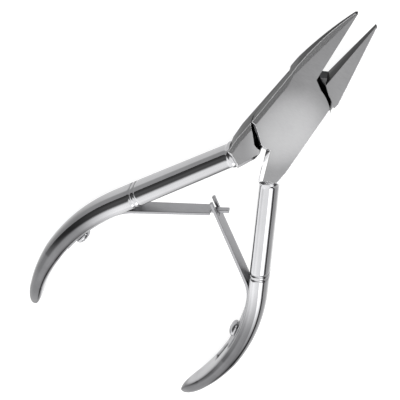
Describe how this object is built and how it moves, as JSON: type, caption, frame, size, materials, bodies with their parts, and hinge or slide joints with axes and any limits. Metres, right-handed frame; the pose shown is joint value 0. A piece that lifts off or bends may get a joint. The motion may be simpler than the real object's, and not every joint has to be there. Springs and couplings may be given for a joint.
{
  "type": "cuticle nipper",
  "caption": "Crossed-lever nail and cuticle nipper with long tapering jaws, polished curved handles and a hooked double leaf spring that holds them open.",
  "frame": {"origin": "centre of the footprint, at the height of the rear face of the joint, with the tool lying flat and open", "axes": "+Y to the jaw tips, X across the handles, +Z out of the front face of the joint; the pivot axis is X = 0, Y = 29.27 mm"},
  "size_m": [0.0592, 0.1154, 0.009],
  "materials": {
    "satin_front": "polished handle, satin plate and jaw",
    "satin_rear": "polished handle, satin plate and jaw",
    "pivot_steel": "satin",
    "leaf_steel": "satin spring steel",
    "screw_steel": "polished"
  },
  "bodies": {
    "rear_half": {"lever_rear": "satin_rear", "tongue_leaf_root": "leaf_steel", "tongue_leaf_screw": "screw_steel"},
    "front_half": {"lever_front": "satin_front", "pivot_screw": "pivot_steel", "fork_leaf_root": "leaf_steel", "fork_leaf_screw": "screw_steel"},
    "fork_arm": {"fork_leaf_arm": "leaf_steel"},
    "tongue_arm": {"tongue_leaf_arm": "leaf_steel"}
  },
  "joints": [
    {"name": "handle_squeeze", "type": "hinge", "parent": "rear_half", "child": "front_half", "pos_m": [0, 0.02927, 0.0045], "axis": [0, 0, -1], "range_deg": [0, 8], "stiffness_Nm_per_rad": 2.5, "springref_deg": -5.73},
    {"name": "fork_flex", "type": "hinge", "parent": "front_half", "child": "fork_arm", "pos_m": [0.01986, -0.01678, 0.0045], "axis": [0, 0, -1], "range_deg": [0, 6.6]},
    {"name": "tongue_flex", "type": "hinge", "parent": "rear_half", "child": "tongue_arm", "pos_m": [-0.01986, -0.01678, 0.0045], "axis": [0, 0, 1], "range_deg": [0, 6.6]}
  ],
  "couplings": [
    {"joint": "fork_flex", "follows": "handle_squeeze", "ratio": 0.79},
    {"joint": "tongue_flex", "follows": "handle_squeeze", "ratio": 0.79}
  ]
}
